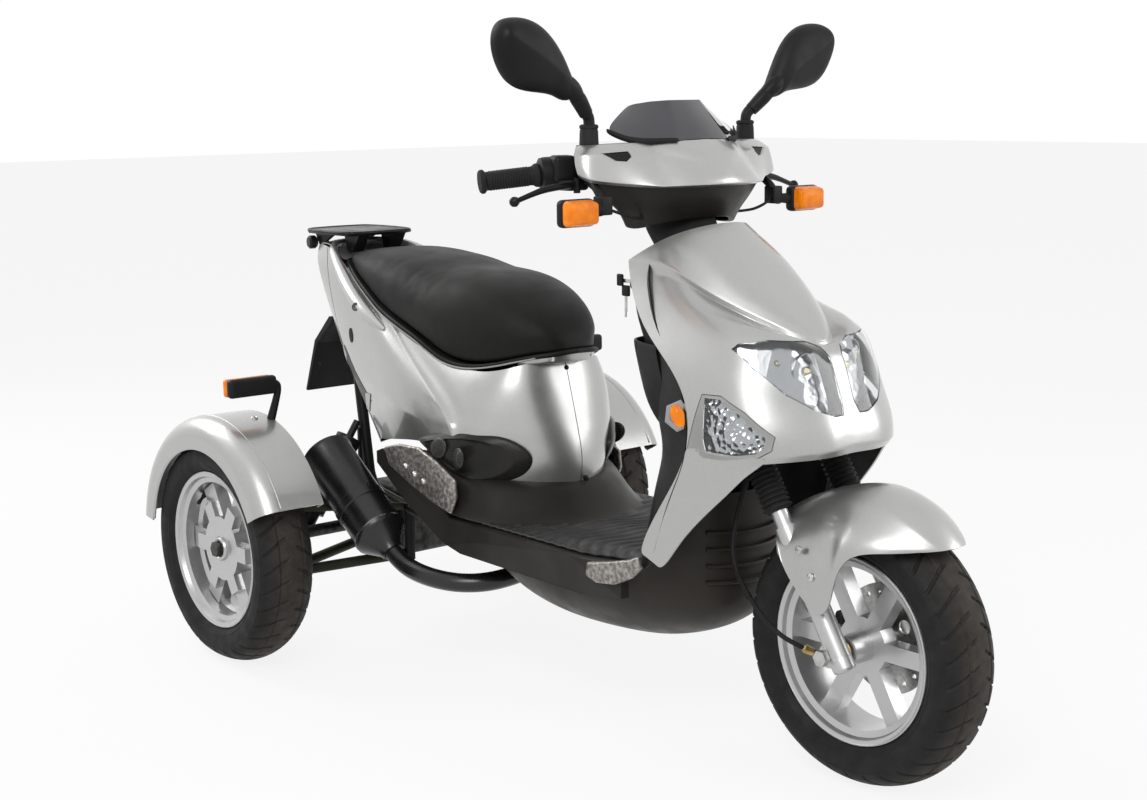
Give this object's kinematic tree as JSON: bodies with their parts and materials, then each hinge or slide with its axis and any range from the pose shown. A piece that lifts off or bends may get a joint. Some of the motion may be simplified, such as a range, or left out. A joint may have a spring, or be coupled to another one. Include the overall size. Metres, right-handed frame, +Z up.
{
  "type": "three-wheeled motor scooter",
  "caption": "Silver motor scooter with one steered front wheel and two fendered rear wheels, a flat footboard, stepped black seat and rear rack.",
  "frame": {"origin": "on the ground, under the middle of the outer box", "axes": "+Z up, the front faces -Y, the rider's right hand is on -X"},
  "size_m": [1.05, 1.8609, 1.2709],
  "materials": {
    "silver_paint": "metallic silver lacquer, glossy",
    "dark_silver_paint": "darker metallic grey lacquer, glossy",
    "black_frame": "satin black enamel",
    "black_plastic": "fine-grained matt black",
    "dark_grey_plastic": "satin warm dark grey",
    "rubber": "matt black moulded rubber",
    "tyre": "black tread rubber",
    "trim_silver": "grey-brown metallic textured",
    "clear_lens": "clear lens over a bright faceted reflector",
    "smoked_screen": "dark smoked, glossy",
    "amber_lens": "amber ribbed lens",
    "red_lens": "red ribbed lens",
    "steel": "satin machined",
    "engine_alloy": "dark cast alloy",
    "black_vinyl": "grained black vinyl cover"
  },
  "bodies": {
    "chassis": {"main_frame": "black_frame", "front_shield": "silver_paint", "nose_panel": "dark_silver_paint", "headlights": "clear_lens", "corner_lamps": "clear_lens", "inner_leg_shield": "black_plastic", "floorboard": "dark_grey_plastic", "floor_mat": "rubber", "footplates": "trim_silver", "belly_pan": "dark_grey_plastic", "side_panels": "silver_paint", "tail_panel": "silver_paint", "side_vents": "black_plastic", "seat_hinge_bracket": "black_frame", "storage_bucket": "black_plastic", "rear_rack": "black_frame", "grab_handles": "silver_paint", "tail_light": "red_lens", "rear_mudguard": "black_plastic", "engine": "engine_alloy", "exhaust": "black_frame", "drive_axle": "engine_alloy", "rear_knuckles": "steel", "suspension_arms": "black_frame", "shock_absorbers": "black_frame", "rear_fenders": "silver_paint", "rear_indicators": "amber_lens"},
    "steering": {"fork": "steel", "fork_boots": "rubber", "front_axle": "steel", "front_fender": "silver_paint", "brake_caliper": "engine_alloy", "speedometer_cable": "black_plastic", "handlebar": "black_frame", "grips": "rubber", "control_levers": "black_frame", "handlebar_cowl_upper": "silver_paint", "handlebar_cowl_lower": "dark_grey_plastic", "windscreen": "smoked_screen", "mirrors": "black_plastic", "front_indicators": "amber_lens"},
    "front_wheel": {"front_rim": "silver_paint", "front_tyre": "tyre", "brake_disc": "steel"},
    "rear_wheel_right": {"rear_rim_right": "silver_paint", "rear_tyre_right": "tyre"},
    "rear_wheel_left": {"rear_rim_left": "silver_paint", "rear_tyre_left": "tyre"},
    "seat": {"seat_cushion": "black_vinyl", "seat_base": "black_plastic"}
  },
  "joints": [
    {"name": "steering_turn", "type": "hinge", "parent": "chassis", "child": "steering", "pos_m": [0, -0.68134, 0.22434], "axis": [0, 0.5299, 0.848], "range_deg": [-35, 35]},
    {"name": "front_wheel_spin", "type": "hinge", "parent": "steering", "child": "front_wheel", "pos_m": [0, -0.7, 0.236], "axis": [1, 0, 0], "continuous": true},
    {"name": "rear_wheel_right_spin", "type": "hinge", "parent": "chassis", "child": "rear_wheel_right", "pos_m": [-0.451, 0.611, 0.236], "axis": [1, 0, 0], "continuous": true},
    {"name": "rear_wheel_left_spin", "type": "hinge", "parent": "chassis", "child": "rear_wheel_left", "pos_m": [0.451, 0.611, 0.236], "axis": [1, 0, 0], "continuous": true},
    {"name": "seat_open", "type": "hinge", "parent": "chassis", "child": "seat", "pos_m": [0, 0.062, 0.642], "axis": [1, 0, 0], "range_deg": [0, 60]}
  ]
}
